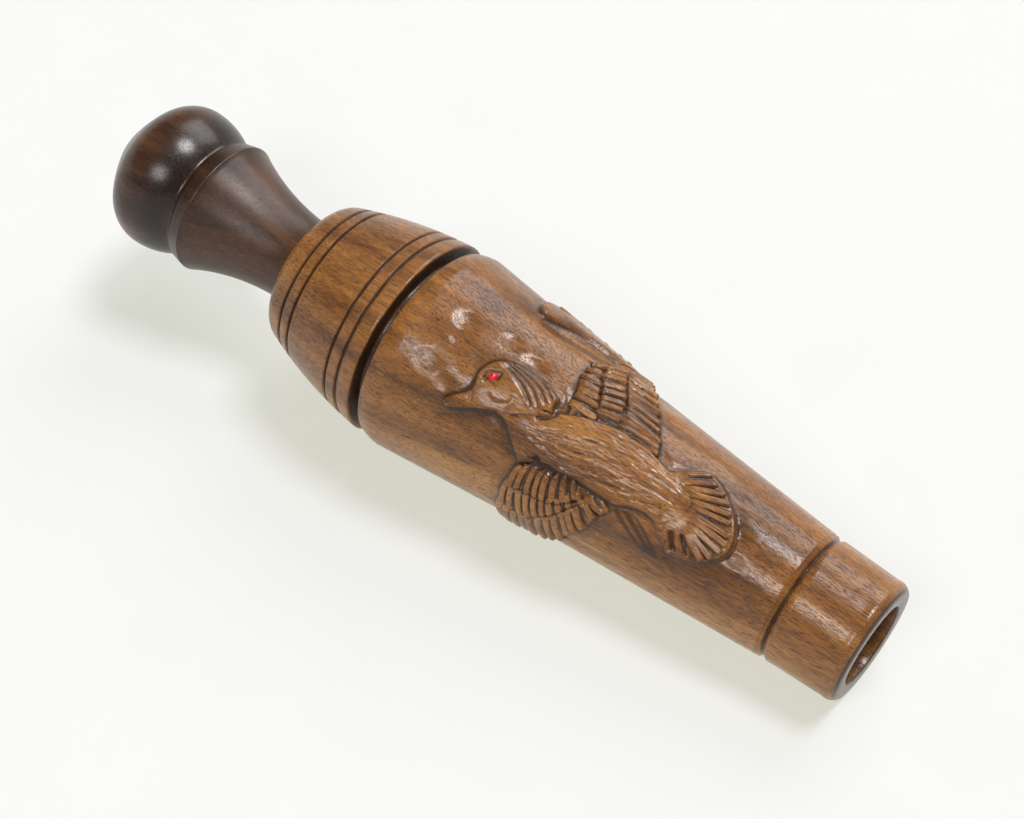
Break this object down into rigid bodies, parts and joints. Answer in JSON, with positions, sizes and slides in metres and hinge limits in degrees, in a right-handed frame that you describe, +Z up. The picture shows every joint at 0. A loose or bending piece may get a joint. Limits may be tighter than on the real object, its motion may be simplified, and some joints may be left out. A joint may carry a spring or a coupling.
{
  "type": "duck call",
  "caption": "Wooden game call: a tapered carved barrel with a lanyard groove and collar, and a turned insert that carries the reeds.",
  "frame": {"origin": "on the surface that the call lies on, under the middle of its overall length", "axes": "+Z up; the call lies along X with its mouth towards +X; its own axis rises 5.07 degrees towards the bulb at -X, because it rests on the barrel's shoulder and on the mouth rim"},
  "size_m": [0.172, 0.0406, 0.0411],
  "materials": {
    "walnut": "satin oil finish",
    "dark_wood": "polished",
    "board_plastic": "machined and polished",
    "reed_film": "smooth film",
    "cork": "raw cork",
    "seal_rubber": "satin",
    "red_bead": "polished"
  },
  "bodies": {
    "barrel": {"barrel": "walnut", "eye_bead_near": "red_bead", "eye_bead_far": "red_bead"},
    "seal_rings": {"o_ring_front": "seal_rubber", "o_ring_rear": "seal_rubber"},
    "insert": {"insert": "dark_wood", "tone_board": "board_plastic", "wedge": "cork"},
    "reed_long": {"reed_long": "reed_film"},
    "reed_short": {"reed_short": "reed_film"}
  },
  "joints": [
    {"name": "insert_pull", "type": "slide", "parent": "barrel", "child": "seal_rings", "axis": [-0.9961, 0, 0.0884], "range_m": [0, 0.07]},
    {"name": "insert_turn", "type": "hinge", "parent": "seal_rings", "child": "insert", "pos_m": [-0.03641, 0, 0.0225], "axis": [-0.9961, 0, 0.0884], "continuous": true},
    {"name": "reed_long_flex", "type": "hinge", "parent": "insert", "child": "reed_long", "pos_m": [-0.00864, 0, 0.02152], "axis": [0, 1, 0], "range_deg": [-0.75, 1.5], "stiffness_Nm_per_rad": 0.02},
    {"name": "reed_short_flex", "type": "hinge", "parent": "insert", "child": "reed_short", "pos_m": [-0.00864, 0, 0.02152], "axis": [0, 1, 0], "range_deg": [-0.75, 1.5], "stiffness_Nm_per_rad": 0.02}
  ],
  "couplings": [
    {"joint": "reed_short_flex", "follows": "reed_long_flex", "ratio": 1}
  ]
}
